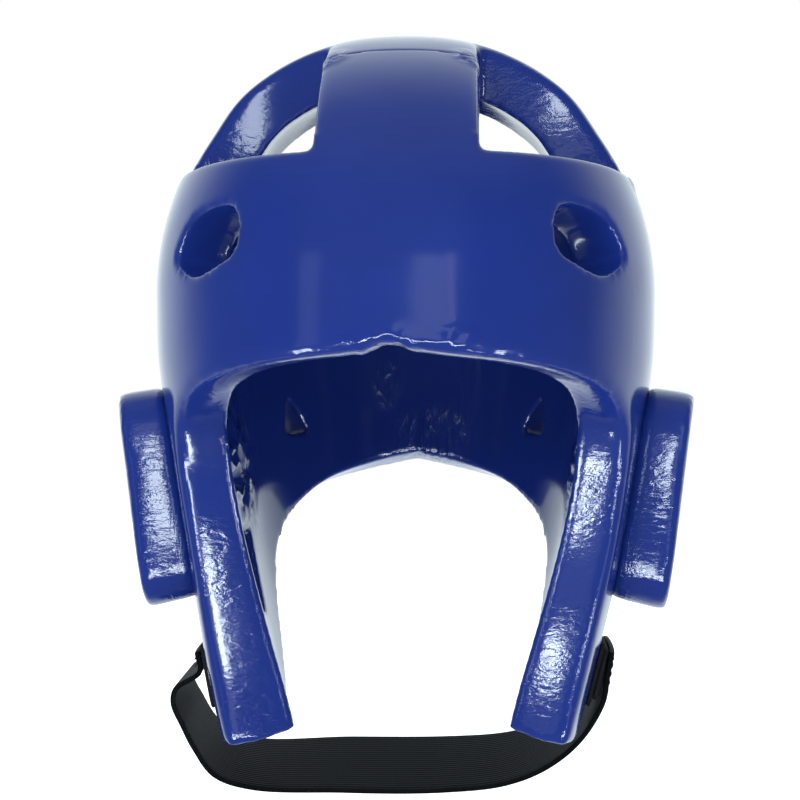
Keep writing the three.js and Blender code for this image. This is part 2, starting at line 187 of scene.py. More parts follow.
# Columns: across, down, forward, and lean in degrees, from the wearer's right to the left.
strap_run = [
    (-1.075, 0.27, 0.0, 3),
    (-1.085, 0.37, 0.01, 4),
    (-1.03, 0.54, 0.02, 6),
    (-0.97, 0.71, 0.02, 8),
    (-0.88, 0.89, 0.03, 11),
    (-0.71, 0.98, 0.03, 14),
    (-0.3, 1.0, 0.04, 17),
    (0.2, 0.99, 0.04, 17),
    (0.5, 0.94, 0.04, 15),
    (0.7, 0.83, 0.03, 11),
    (0.85, 0.66, 0.02, 6),
]

# Zones are a middle and a size, and a negative first size mirrors the zone to the other side.
# The pinch in the middle of the brow's edge: how far it lifts the edge, and zone.
brow_pinch = [
    (1.6, (-3, -108, -108), (9, 18, 8)),
    (-0.9, (-8, -108, -111), (6, 14, 5)),
]

# Folds in the film: zones, the spacing of the folds along x, y and z, and their height.
film_folds = [
    ([((-3, -110, -104), (26, 12, 8)), ((21, -113, -104), (13, 10, 6))], (7, 16, 3.2), 0.5),
    ([((11, 98, -142), (30, 16, 15))], (4, 40, 22), 0.8),
    ([((-76, -2, -158), (-17, 44, 46))], (13, 11, 10), 4),
    ([((76, -34, -42), (-16, 12, 9)), ((27, -66, -5), (-10, 8, 30))], (5, 5, 5), 0.7),
]

# Holes round which the film stays glossy: angle, rise above the waist, and reach.
glossy_holes = [(angle, rise, 24) for angle, rise, *_ in vents] + [(*rear_vent, 18), (ear_angle, -78, 48)]

# Fine creases of the film, drawn by its material: strength and zone.
film_creases = [
    (1, (11, 98, -142), (36, 16, 22)),
    (1, (-78, 0, -190), (-20, 60, 70)),
    (0.8, (-14, 98, -115), (8, 16, 20)),
    (0.8, (24, 98, -117), (8, 16, 20)),
    (0.8, (76, -34, -42), (-20, 14, 12)),
    (0.6, (-3, -108, -108), (30, 16, 8)),
    (0.7, (27, -66, 0), (-12, 10, 24)),
]

# The zone of fine ripples on the front faces of the ear pads
pad_ripples = ((-100, -36, -162), (-22, 14, 34))

# Colours
deep_blue = (0.0068, 0.018, 0.135)
lighter_blue = (0.0085, 0.0235, 0.172)
# Webbing black: the grooves between the ribs get the darker colour as painted shade, and the rib crests the
# lighter one
rib_groove_shade = (0.0008, 0.0012, 0.0022)
rib_grey = (0.0022, 0.0032, 0.0058)
nap_black = (0.002, 0.002, 0.003)
nap_grey = (0.014, 0.014, 0.017)
thread_grey = (0.02, 0.023, 0.03)
paper_white = (0.85, 0.85, 0.85)
cool_light = (0.86, 0.97, 1)
violet_light = (0.92, 0.82, 1)

# Lamps close by that only show as highlights, in metres: place, target, width, height and power.
glint_lamps = {
    "right_cheek_lamp": ((-0.046, -0.114, -0.2), (-0.071, -0.059, -0.2), 0.009, 0.05, 0.045),
    "left_cheek_upper_lamp": ((0.031, -0.105, -0.162), (0.066, -0.056, -0.162), 0.006, 0.02, 0.014),
    "left_cheek_lower_lamp": ((0.021, -0.106, -0.216), (0.053, -0.056, -0.216), 0.006, 0.016, 0.011),
    "right_pad_lamp": ((-0.066, -0.161, -0.165), (-0.091, -0.044, -0.16), 0.018, 0.045, 0.05),
    "left_pad_lamp": ((0.074, -0.163, -0.155), (0.097, -0.045, -0.15), 0.018, 0.03, 0.035),
    "left_pad_low_lamp": ((0.06, -0.155, -0.215), (0.09, -0.044, -0.186), 0.015, 0.015, 0.014),
    "nape_lamp": ((0.012, -0.085, -0.155), (0.011, 0.098, -0.145), 0.03, 0.016, 0.04),
    "right_arm_lamp": ((-0.064, -0.078, -0.008), (-0.06, -0.035, -0.018), 0.01, 0.03, 0.01),
    "left_arm_lamp": ((0.062, -0.078, -0.004), (0.06, -0.035, -0.014), 0.008, 0.014, 0.005),
}


def read_sections(drop):
    """Width, front and back shares at a drop below the waist, smooth between the rows of the table."""
    key = sections[:, 0]
    last = len(key) - 2
    i = np.clip(np.searchsorted(key, drop, side="right") - 1, 0, last)
    a, b = sections[i], sections[i + 1]
    before, after = sections[np.maximum(i - 1, 0)], sections[np.minimum(i + 2, last + 1)]
    span = (b[..., :1] - a[..., :1])
    t = np.clip((drop[..., None] - a[..., :1]) / span, 0, 1)
    slope_in = (b - before) / (b[..., :1] - before[..., :1]) * span
    slope_out = (after - a) / (after[..., :1] - a[..., :1]) * span
    row = (2 * t**3 - 3 * t**2 + 1) * a + (t**3 - 2 * t**2 + t) * slope_in
    row += (3 * t**2 - 2 * t**3) * b + (t**3 - t**2) * slope_out
    return row[..., 1], row[..., 2], row[..., 3]


def section_at(height):
    """Half width, front reach and back reach of the skin at a height."""
    height = np.asarray(height, float)
    climb = np.clip((height - waist) / crown_rise, 0, 1)
    scale = (1 - climb**crown_power) ** (1 / crown_root)
    width, front, back = read_sections((waist - height) / cheek_drop)
    above = height >= waist
    width, front, back = (np.where(above, np.maximum(scale, 1e-6), low) for low in (width, front, back))
    return width * temple_width / 2, front * brow_reach, back * nape_reach


def skin_level(x, y, z):
    """0 on the skin, above 0 outside it and below 0 inside it."""
    width, front, back = section_at(z)
    reach = np.where(y < 0, front, back)
    return (np.abs(x) / width) ** plan_power + (np.abs(y) / reach) ** plan_power - 1


def skin_slope(p, step=0.05):
    """How fast the level grows along x, y and z, from two places on each side of a point."""
    shift = np.eye(3) * step
    return np.stack([skin_level(*(p + s).T) - skin_level(*(p - s).T) for s in shift], -1) / (2 * step)


def skin_normals(p):
    slope = skin_slope(p)
    return slope / np.linalg.norm(slope, axis=1, keepdims=True)


def wall(angle, height, depth):
    """Points of the wall. Depth is measured square to the skin, inwards."""
    angle, height, depth = np.broadcast_arrays(*(np.asarray(v, float) for v in (angle, height, depth)))
    angle, height, depth = (v.ravel() for v in (angle, height, depth))
    pole = waist + crown_rise
    top = height > pole - 0.02
    height = np.where(top, pole - 0.02, height)
    width, front, back = section_at(height)
    sin, cos = np.sin(np.radians(angle)), np.cos(np.radians(angle))
    reach = np.where(cos > 0, front, back)
    radius = ((np.abs(sin) / width) ** plan_power + (np.abs(cos) / reach) ** plan_power) ** (-1 / plan_power)
    p = np.stack([radius * sin, -radius * cos, height], -1)
    out = skin_normals(p)
    out[top] = (0, 0, 1)
    p[top] = (0, 0, pole)
    return p - out * depth[:, None]


def skin_depth(p):
    """How far points lie below the skin, in millimetres."""
    level = skin_level(*p.T)
    # The level grows faster than the distance away from the skin, so its root is taken first.
    root = (level + 1) ** (1 / plan_power) - 1
    slope = skin_slope(p)
    size = np.linalg.norm(slope, axis=1) / plan_power * (level + 1) ** (1 / plan_power - 1)
    return -root / np.maximum(size, 1e-4)


def degrees_for(length, angle, height):
    """The turn round the upright axis that covers a length along the skin."""
    x, y, _ = wall(angle, height, 0).T
    return np.degrees(length / np.hypot(x, y))


def smooth_step(value, low, high):
    """Climbs smoothly from 0 at low to 1 at high, which may be the smaller number."""
    t = np.clip((np.asarray(value, float) - low) / (high - low), 0, 1)
    return t * t * (3 - 2 * t)


def hermite(knots, values, at):
    """Values between knots, with the slope at each knot from its neighbours."""
    values = np.asarray(values, float)
    slope = np.gradient(values, knots, axis=0)
    i = np.clip(np.searchsorted(knots, at, side="right") - 1, 0, len(knots) - 2)
    span = knots[i + 1] - knots[i]
    t = (at - knots[i]) / span
    shape = (-1,) + (1,) * (values.ndim - 1)
    t, span = t.reshape(shape), span.reshape(shape)
    result = (2 * t**3 - 3 * t**2 + 1) * values[i] + (t**3 - 2 * t**2 + t) * span * slope[i]
    return result + (3 * t**2 - 2 * t**3) * values[i + 1] + (t**3 - t**2) * span * slope[i + 1]


def deselect():
    for o in bpy.context.selected_objects:
        o.select_set(False)


def only(piece):
    """Selects one piece and makes it active."""
    deselect()
    piece.select_set(True)
    bpy.context.view_layer.objects.active = piece


def shade_smooth(piece, degrees=40):
    """Smooth shading, with edges sharper than an angle kept."""
    only(piece)
    bpy.ops.object.shade_smooth_by_angle(angle=math.radians(degrees))


def points_of(piece):
    flat = np.empty(len(piece.data.vertices) * 3)
    piece.data.vertices.foreach_get("co", flat)
    return flat.reshape(-1, 3)


def normals_of(piece):
    flat = np.empty(len(piece.data.vertices) * 3)
    piece.data.vertices.foreach_get("normal", flat)
    return flat.reshape(-1, 3)


def place_points(piece, points):
    piece.data.vertices.foreach_set("co", np.asarray(points, float).ravel())
    piece.data.update()


def apply(piece, kind, **settings):
    """Adds one modifier and applies it."""
    only(piece)
    modifier = piece.modifiers.new(kind.lower(), kind)
    for key, value in settings.items():
        setattr(modifier, key, value)
    bpy.ops.object.modifier_apply(modifier=modifier.name)


def edit(piece, *steps):
    """Runs edit-mode operators on all of a piece."""
    only(piece)
    bpy.ops.object.mode_set(mode="EDIT")
    bpy.ops.mesh.select_all(action="SELECT")
    for step in steps:
        step()
    bpy.ops.object.mode_set(mode="OBJECT")


def merge(distance=1e-6):
    return lambda: bpy.ops.mesh.remove_doubles(threshold=distance)


def outwards():
    bpy.ops.mesh.normals_make_consistent(inside=False)


def grid_piece(name, columns, rows, place):
    """A grid whose points go where place(u, v) says, in millimetres, with u and v from 0 to 1."""
    deselect()
    bpy.ops.mesh.primitive_grid_add(x_subdivisions=columns, y_subdivisions=rows, size=2)
    piece = bpy.context.object
    piece.name = piece.data.name = name
    u, v, _ = ((points_of(piece) + 1) / 2).T
    place_points(piece, place(u, v) / 1000)
    return piece


def prism(name, outline, near, far):
    """A block through the wall whose outline is a list of (angle, height). near and far are depths."""
    deselect()
    angle, height = np.asarray(outline, float).T
    count = len(angle)
    bpy.ops.mesh.primitive_circle_add(vertices=count, fill_type="TRIFAN")
    piece = bpy.context.object
    piece.name = name
    loop = np.array([v.index for v in piece.data.vertices if v.co.length > 0.5])
    middle = np.array([v.index for v in piece.data.vertices if v.co.length <= 0.5])
    turn = np.arctan2(*points_of(piece)[loop].T[1::-1])
    order = loop[np.argsort(turn)]
    places = points_of(piece)
    places[order] = wall(angle, height, near) / 1000
    places[middle] = wall(angle.mean(), height.mean(), near) / 1000
    place_points(piece, places)
    edit(piece, lambda: bpy.ops.mesh.extrude_region_move())
    places = points_of(piece)
    fresh = np.arange(len(places) - count - 1, len(places))
    base = np.arange(count + 1)
    match = {tuple(np.round(places[k], 7)): k for k in base}
    far_places = np.empty((count + 1, 3))
    far_places[order] = wall(angle, height, far) / 1000
    far_places[middle] = wall(angle.mean(), height.mean(), np.mean(far)) / 1000
    old = places.copy()
    # The extruded points still lie on their originals, so each finds its far place by where it is.
    for k in fresh:
        places[k] = far_places[match[tuple(np.round(old[k], 7))]]
    place_points(piece, places)
    edit(piece, merge(), outwards)
    return piece


def cut(piece, cutter, operation="DIFFERENCE"):
    apply(piece, "BOOLEAN", object=cutter, operation=operation, solver="MANIFOLD")
    bpy.data.objects.remove(cutter, do_unlink=True)


def block(name, low, high):
    """A plain box, in millimetres, used only to cut with."""
    deselect()
    low, high = np.array(low, float), np.array(high, float)
    bpy.ops.mesh.primitive_cube_add(size=2)
    piece = bpy.context.object
    piece.name = name
    place_points(piece, (points_of(piece) * (high - low) / 2 + (high + low) / 2) / 1000)
    return piece


def wall_sheet(name, low, skin, thickness, columns=220, rows_below=84, rows_above=76):
    """The foam wall right round the head, from a height up to the crown, before anything is cut."""
    start = math.asin(max(low - waist, 0) / crown_rise)
    below = rows_below if low < waist else 0
    share = below / (below + rows_above)

    def height_of(v):
        climb = np.clip((v - share) / (1 - share), 0, 1)
        above = waist + crown_rise * np.sin(start + (math.pi / 2 - start) * climb)
        under = low + (waist - low) * v / max(share, 1e-9)
        return np.where(v < share - 1e-9, under, above)

    piece = grid_piece(name, columns, below + rows_above, lambda u, v: wall(360 * u, height_of(v), 0))
    edit(piece, merge(), outwards)
    x, y, height = (points_of(piece) * 1000).T
    thicken(piece, np.degrees(np.arctan2(x, -y)), height, skin(height), skin(height) + thickness(height))
    return piece


def thicken(piece, angle, height, near, far):
    """Gives an open sheet on the skin its two faces, at two depths square to the skin."""
    apply(piece, "SOLIDIFY", thickness=0.01, offset=-1)
    angle, height, near, far = np.broadcast_arrays(angle, height, near, far)
    place_points(piece, np.concatenate([wall(angle, height, near), wall(angle, height, far)]) / 1000)
    edit(piece, outwards)


def foam_at(height):
    """Thickness of the shell's foam. It thins towards the crown and swells towards the cheek guards' ends."""
    upper = band_foam + (crown_foam - band_foam) * smooth_step(height, band_top, 0)
    return upper + cheek_swell * (1 - smooth_step(height, cheek_end, nape_edge))


def crown_set(height):
    """How far the crown pad's arms lie below the band's skin."""
    return arm_set * (1 - smooth_step(height, band_top + crown_foam, band_top + 2 * crown_foam + arm_set))


def edge_line(table, top, count):
    """Angles and heights along the smooth edge that a table describes, evenly spaced."""
    angle, drop = table.T
    knots = np.concatenate([[0], np.cumsum(np.hypot(np.diff(angle), np.diff(drop) * 100))])
    corners = np.stack([angle, top - drop * (top - cheek_end)], -1)
    line = hermite(knots, corners, np.linspace(0, knots[-1], 600))
    run = np.concatenate([[0], np.cumsum(np.hypot(*np.diff(line, axis=0).T))])
    even = np.linspace(0, run[-1], count)
    return np.interp(even, run, line[:, 0]), np.interp(even, run, line[:, 1])


def sheet_cutter(name, columns, rows, spot):
    """A block through the whole wall. spot(u, v) gives an angle and a height."""
    places = {}

    def place(u, v):
        places["angle"], places["height"] = spot(u, v)
        return wall(places["angle"], places["height"], 0)

    piece = grid_piece(name, columns, rows, place)
    thicken(piece, places["angle"], places["height"], outside_cut, inside_cut)
    return piece


def face_cutter(rows=80):
    """The face opening, down past the ends of the cheek guards."""
    angle, height = edge_line(face_edge, brow_edge, rows)
    last, row = rows - 1, np.arange(rows)
    return sheet_cutter("face_cutter", 40, last, lambda u, v: (
        (2 * u - 1) * np.interp(last * v, row, angle), np.interp(last * v, row, height)))


def neck_cutter(below_cheeks=14):
    """All of the wall below the nape's and the cheek guards' edge."""
    angle, height = edge_line(neck_edge, nape_edge, 90)
    angle = np.concatenate([angle, 360 - angle[-2::-1]])
    height = np.concatenate([height, height[-2::-1]])
    last = len(angle) - 1
    column = np.arange(last + 1)
    low = cheek_end - below_cheeks
    return sheet_cutter("neck_cutter", last, 24, lambda u, v: (
        np.interp(last * u, column, angle), low + (np.interp(last * u, column, height) - low) * v))


def vent_outline(angle, rise, length, width, turn, side):
    """A drop shape, narrow at its tip."""
    height = waist + rise
    t = np.linspace(0, 2 * math.pi, 48, endpoint=False)
    along = length / 2 * np.cos(t)
    aside = width / 2 * np.sin(t) * (1 - 0.55 * np.cos(t) ** 3)
    turn = math.radians(turn)
    back = along * math.cos(turn) - aside * math.sin(turn)
    up = along * math.sin(turn) + aside * math.cos(turn)
    return np.stack([side * (angle + degrees_for(back, angle, height)), height + up], -1)


def rounded_outline(corners, radius, side, steps=8, middle=ear_angle):
    """Corners drawn flat, x towards the back and y the height, as (angle, height) places round an angle."""
    corners = np.asarray(corners, float)
    places = []
    for k, here in enumerate(corners):
        before = corners[k - 1] - here
        after = corners[(k + 1) % len(corners)] - here
        enter = here + before / np.linalg.norm(before) * radius
        leave = here + after / np.linalg.norm(after) * radius
        for t in np.linspace(0, 1, steps):
            places.append((1 - t) ** 2 * enter + 2 * t * (1 - t) * here + t * t * leave)
    places = np.array(places)
    return np.stack([side * (middle + degrees_for(places[:, 0], middle, places[:, 1])), places[:, 1]], -1)


def trapezoid(top, length, top_width, low_width, sweep):
    """Corners of a shape whose lower end is narrower and swept towards the front or back."""
    low = top - length
    return [(-top_width / 2, top), (sweep - low_width / 2, low),
            (sweep + low_width / 2, low), (top_width / 2, top)]


def soften(piece, voxel, rounds, factor=0.5):
    """Turns a cut block into one even skin and rounds its edges."""
    apply(piece, "REMESH", mode="VOXEL", voxel_size=voxel, use_smooth_shade=True)
    apply(piece, "SMOOTH", factor=factor, iterations=rounds)


def distance_to_line(points, line):
    """Distance from each point to the nearest point of a dense line, in millimetres."""
    tree = KDTree(len(line))
    for k, place in enumerate(line):
        tree.insert(place, k)
    tree.balance()
    return np.array([tree.find(p)[2] for p in points])


def face_line(depth):
    """Points round the face opening at a depth of the wall, from one cheek over the brow to the other."""
    angle, height = edge_line(face_edge, brow_edge, 300)
    return np.concatenate([wall(-angle, height, depth), wall(angle, height, depth)])


def roll(piece, away, reach, strength, rounds):
    """Rounds a piece near an edge. away is each point's distance from the edge, in millimetres."""
    weights = (1 - smooth_step(away / reach, 0.4, 1)) * strength
    group = piece.vertex_groups.new(name="roll")
    for k in np.flatnonzero(weights > 0.01):
        group.add([int(k)], float(weights[k]), "REPLACE")
    apply(piece, "SMOOTH", factor=0.5, iterations=rounds, vertex_group="roll")
    piece.vertex_groups.clear()


def roll_face_edge(piece):
    """The outer edge of the face opening is rounder than the others, most of all over the brow."""
    p = points_of(piece) * 1000
    brow = smooth_step(p[:, 2], -165, -120)
    reach, strength, rounds = outer_roll
    away = distance_to_line(p, face_line(0))
    roll(piece, away, reach + brow_roll[0] * brow, strength + brow_roll[1] * brow, rounds)
    p = points_of(piece) * 1000
    roll(piece, distance_to_line(p, face_line(band_foam)), *inner_roll)


def roll_crown_edges(piece):
    """The outer edges of the tongues and of the crown pad's spine and arms."""
    p = points_of(piece) * 1000
    far = 99
    depth = np.clip(skin_depth(p), 0, far)
    edges = np.abs(np.abs(p[:, 0]) - tongue_width / 2)
    if piece is not shell:
        arms = np.minimum(np.abs(p[:, 1] + arm_front), np.abs(p[:, 1] - arm_back))
        edges = np.minimum(edges, np.where(np.abs(p[:, 0]) > tongue_width / 2 - 2, arms, far))
    away = np.hypot(edges, depth)
    roll(piece, np.where(p[:, 2] > band_top + 6, away, far), *crown_roll)


def zone(points, centre, size):
    """1 at a place and 0 away from it. The zone is mirrored when its first size is negative."""
    centre, size = np.array(centre, float), np.array(size, float)
    p = points.copy()
    if size[0] < 0:
        p[:, 0] = np.abs(p[:, 0])
        centre[0] = abs(centre[0])
    away = np.linalg.norm((p - centre) / np.abs(size), axis=1)
    return 1 - smooth_step(away, 0.45, 1)


def fold(piece, weight, period, height, seed):
    """Real folds in the film. Their spacing along x, y and z and their height are in millimetres."""
    p = points_of(piece)
    normals = normals_of(piece)
    for k in np.flatnonzero(weight > 0.01):
        ridge = 1 - abs(noise_at(Vector(p[k] * 1000 / np.array(period)) + Vector((seed, 3 * seed, 0)))) * 2.4
        p[k] += normals[k] * weight[k] * height * ridge / 1000
    place_points(piece, p)


def paint(piece, name, values):
    """Stores one value per point for the material to read."""
    layer = piece.data.attributes.get(name) or piece.data.attributes.new(name, "FLOAT", "POINT")
    layer.data.foreach_set("value", np.asarray(values, np.float32).ravel())


# The shell
shell = wall_sheet("headgear_shell", cheek_end - spare_foam, lambda height: 0, foam_at)
cut(shell, face_cutter())
cut(shell, neck_cutter())
for side in (-1, 1):
    x = sorted((side * tongue_width / 2, side * block_reach))
    cut(shell, block("crown_opening", (x[0], -block_reach, band_top), (x[1], block_reach, block_top)))
    corners = trapezoid(waist - ear_opening_top, ear_opening_length, ear_opening_width,
                        ear_opening_width * ear_opening_taper, ear_sweep)
    outline = rounded_outline(corners, ear_opening_corner, side)
    cut(shell, prism("ear_opening", outline, outside_cut, inside_cut))
    outline = rounded_outline(recess_corners, recess_corner, side)
    cut(shell, prism("ear_recess", outline, recess_depth, inside_cut))
    for vent in vents:
        cut(shell, prism("vent", vent_outline(*vent, side), outside_cut, inside_cut))
    corners = [(x, waist + rear_vent[1] + y) for x, y in rear_vent_corners]
    outline = rounded_outline(corners, rear_vent_corner, side, middle=rear_vent[0])
    cut(shell, prism("rear_vent", outline, outside_cut, inside_cut))
cut(shell, block("crown_bed", (-block_reach, -crown_front - joint_gap + overlap, band_top + crown_bed),
                 (block_reach, crown_back + joint_gap - overlap, block_top)))
soften(shell, foam_grain, foam_rounds)
roll_face_edge(shell)
roll_crown_edges(shell)


def crease_shell(piece):
    """Pinches and folds where the film was drawn over the foam, strongest at the brow, nape and ears."""
    p = points_of(piece) * 1000
    p[:, 2] += sum(lift * zone(p, *spot) for lift, *spot in brow_pinch)
    place_points(piece, p / 1000)
    weights = [sum(zone(p, *spot) for spot in zones) for zones, _, _ in film_folds]
    for seed, (weight, (_, spacing, height)) in enumerate(zip(weights, film_folds), 1):
        fold(piece, weight, spacing, height, seed)


crease_shell(shell)

# The crown pad
crown = wall_sheet("crown_pad_foam", band_top - crown_start, crown_set, lambda height: crown_foam + arm_swell)
pad_low = band_top - crown_seat
arms = block("arms", (-block_reach, -arm_front, pad_low), (block_reach, arm_back, block_top))
half_spine = tongue_width / 2
spine = block("spine", (-half_spine, -crown_front, pad_low), (half_spine, crown_back, block_top))
cut(arms, spine, "UNION")
cut(crown, arms, "INTERSECT")
soften(crown, foam_grain, foam_rounds)
roll_crown_edges(crown)


def ear_pad(name, side):
    """A foam block that thickens downwards, with a hearing hole through it."""
    top = waist - ear_pad_top
    shape = trapezoid(top, ear_pad_length, ear_pad_width, ear_pad_width * ear_pad_taper, ear_sweep)
    body = rounded_outline(shape, ear_pad_corner, side)
    share = (top - body[:, 1]) / ear_pad_length
    foam = ear_pad_top_foam + (ear_pad_low_foam - ear_pad_top_foam) * share
    piece = prism(name, body, ear_pad_bed, -joint_gap - foam)
    middle = top - ear_pad_length / 2
    t = np.linspace(0, 2 * math.pi, 40, endpoint=False)
    back = ear_hole_width / 2 * np.cos(t) + ear_sweep / 2
    hole = np.stack([side * (ear_angle + degrees_for(back, ear_angle, middle)),
                     middle + ear_hole_length / 2 * np.sin(t)], -1)
    cut(piece, prism("hearing_hole", hole, *ear_hole_cut))
    soften(piece, pad_grain, pad_rounds)
    return piece


ear_pads = {1: ear_pad("ear_pad_foam_left", 1), -1: ear_pad("ear_pad_foam_right", -1)}

# The chin strap
strap_top = waist - patch_top - patch_margin


def strap_place(side, depth):
    """Places of a strap end on its patch. It lifts off a little towards its lower edge."""

    def at(share, c):
        height = strap_top - share * tab_length
        angle = strap_angle + degrees_for(c * strap_width, strap_angle, height)
        p = wall(angle, height, -depth - share * grip_lift - strap_thick / 2)
        return p * (side, 1, 1)

    return at


def strap_stations(c):
    """Places along the strap from the wearer's right to the left, c strap widths from its middle line."""
    right = strap_place(-1, 2 * joint_gap + patch_thick)
    left = strap_place(1, 3 * joint_gap + patch_thick + tab_thick)
    anchor = strap_place(1, 2 * joint_gap + patch_thick)(0, 0)[0]
    rows = [right(0, c)[0], right(0.4, c)[0]]
    for across, down, forward, lean in strap_run:
        lean = math.radians(lean)
        rows.append(np.array([
            across * anchor[0],
            anchor[1] - forward * strap_width + math.cos(lean) * c * strap_width,
            anchor[2] - down * strap_hang + math.sin(lean) * c * strap_width,
        ]))
    rows += [left(share, c)[0] for share in (1, 0.5, 0)]
    return np.array(rows)


def chin_strap():
    """One ribbon of webbing with rounded edges."""
    columns, rows = 16, 150
    middle = strap_stations(0)
    knots = np.concatenate([[0], np.cumsum(np.linalg.norm(np.diff(middle, axis=0), axis=1) ** 0.5)])
    at = np.linspace(0, knots[-1], rows + 1)
    lines = np.array([hermite(knots, strap_stations(k / columns - 0.5), at) for k in range(columns + 1)])

    def place(u, v):
        i = np.rint(u * columns).astype(int)
        j = np.rint(v * rows).astype(int)
        return lines[i, j]

    piece = grid_piece("chin_webbing", columns, rows, place)
    apply(piece, "SOLIDIFY", thickness=strap_thick / 1000, offset=0)
    apply(piece, "BEVEL", width=0.0006, segments=2, limit_method="ANGLE", angle_limit=math.radians(60))
    edit(piece, outwards)
    shade_smooth(piece)
    return piece


strap = chin_strap()


def tape(name, top, length, depth, thick, side):
    """A rectangle of tape on the outside of a cheek guard."""
    half = strap_width / 2
    corners = [(-half, top), (-half, top - length), (half, top - length), (half, top)]
    outline = rounded_outline(corners, tape_corner, side, 5)
    outline[:, 0] += side * (strap_angle - ear_angle)
    piece = prism(name, outline, depth, depth - thick)
    apply(piece, "BEVEL", width=0.0005, segments=2, limit_method="ANGLE", angle_limit=math.radians(50))
    shade_smooth(piece)
    return piece


patches = {side: tape(f"loop_tape_{name}", waist - patch_top, patch_length, -joint_gap, patch_thick, side)
           for side, name in ((1, "left"), (-1, "right"))}
tab = tape("hook_tape", strap_top, tab_length, -2 * joint_gap - patch_thick, tab_thick, 1)


def stitch_row(name, starts, ends):
    """Short stitches of thread lying on a surface, from each start to each end, in millimetres."""
    deselect()
    bpy.ops.mesh.primitive_uv_sphere_add(segments=6, ring_count=5, radius=1)
    first = bpy.context.object
    unit = points_of(first)
    copies = []
    for start, end in zip(starts, ends):
        stitch = first.copy()
        stitch.data = first.data.copy()
        bpy.context.scene.collection.objects.link(stitch)
        along = end - start
        length = np.linalg.norm(along)
        along = along / length
        out = skin_normals(((start + end) / 2)[None])[0]
        aside = np.cross(along, out)
        axes = np.stack([along * length * 0.46, aside * thread_size[0], out * thread_size[1]])
        place_points(stitch, (unit @ axes + (start + end) / 2) / 1000)
        copies.append(stitch)
    bpy.data.objects.remove(first, do_unlink=True)
    deselect()
    for stitch in copies:
        stitch.select_set(True)
    bpy.context.view_layer.objects.active = copies[0]
    bpy.ops.object.join()
    row = bpy.context.object
    row.name = row.data.name = name
    edit(row, outwards)
    only(row)
    bpy.ops.object.shade_smooth()
    return row


def box_of_stitches(name, side, top, length, depth):
    """A rectangle of stitches with a line across its middle, sewn through a strap end."""
    half = strap_width / 2 - stitch_inset
    near, low = stitch_inset, length - stitch_inset
    rows = [((-half, near), (half, near)), ((half, near), (half, low)), ((half, low), (-half, low)),
            ((-half, low), (-half, near)), ((-half, near + 2.5), (half, near + 2.5))]
    starts, ends = [], []
    for a, b in rows:
        a, b = np.array(a, float), np.array(b, float)
        count = int(np.linalg.norm(b - a) // stitch_pitch)
        for k in range(count):
            for share, into in ((k / count, starts), ((k + stitch_share) / count, ends)):
                x, down = a + (b - a) * share
                height = top - down
                angle = strap_angle + degrees_for(x, strap_angle, height)
                into.append((wall(angle, height, depth(down / length)) * (side, 1, 1))[0])
    return stitch_row(name, starts, ends)


def sewn_depth(base):
    """The depth of thread on a strap end whose outer face is at a base height over the skin."""
    return lambda share: -base - share * grip_lift - 0.1


right_base = 2 * joint_gap + patch_thick + strap_thick
left_base = 3 * joint_gap + patch_thick + tab_thick + strap_thick
stitching = {1: box_of_stitches("stitching_left", 1, strap_top, tab_length, sewn_depth(left_base)),
             -1: box_of_stitches("stitching_right", -1, strap_top, 0.45 * tab_length, sewn_depth(right_base))}

# Materials


def material(name, **sockets):
    """A new material, its node tree and its shader, with constants set on the shader's sockets."""
    made = bpy.data.materials.new(name)
    made.use_nodes = True
    shader = made.node_tree.nodes["Principled BSDF"]
    for key, value in sockets.items():
        shader.inputs[key.replace("_", " ")].default_value = value
    return made, made.node_tree, shader


def add_node(tree, kind, inputs=None, **settings):
    """A node whose inputs are either constants or sockets of other nodes."""
    node = tree.nodes.new(kind)
    for key, value in settings.items():
        setattr(node, key, value)
    for key, value in (inputs or {}).items():
        if isinstance(value, bpy.types.NodeSocket):
            tree.links.new(value, node.inputs[key])
        else:
            node.inputs[key].default_value = value
    return node


def bump(tree, shader, height, strength, distance):
    node = add_node(tree, "ShaderNodeBump", {"Height": height, "Strength": strength, "Distance": distance})
    tree.links.new(node.outputs["Normal"], shader.inputs["Normal"])


def blend(tree, factor, dark, light):
    """A colour between two, in a Mix node whose colour sockets are its seventh and eighth."""
    inputs = {"Factor": factor, 6: (*dark, 1), 7: (*light, 1)}
    return add_node(tree, "ShaderNodeMix", inputs, data_type="RGBA").outputs[2]


def multiply(tree, a, b):
    return add_node(tree, "ShaderNodeMath", {0: a, 1: b}, operation="MULTIPLY").outputs[0]


def total(tree, a, b):
    return add_node(tree, "ShaderNodeMath", {0: a, 1: b}, operation="ADD").outputs[0]


def noise(tree, vector, scale, detail=2.0, roughness=0.5, distortion=0.0):
    node = add_node(tree, "ShaderNodeTexNoise", {"Vector": vector, "Scale": scale, "Detail": detail,
                                                 "Roughness": roughness, "Distortion": distortion})
    return node.outputs["Fac"]


def stretched(tree, vector, scale):
    return add_node(tree, "ShaderNodeMapping", {"Vector": vector, "Scale": scale}).outputs["Vector"]


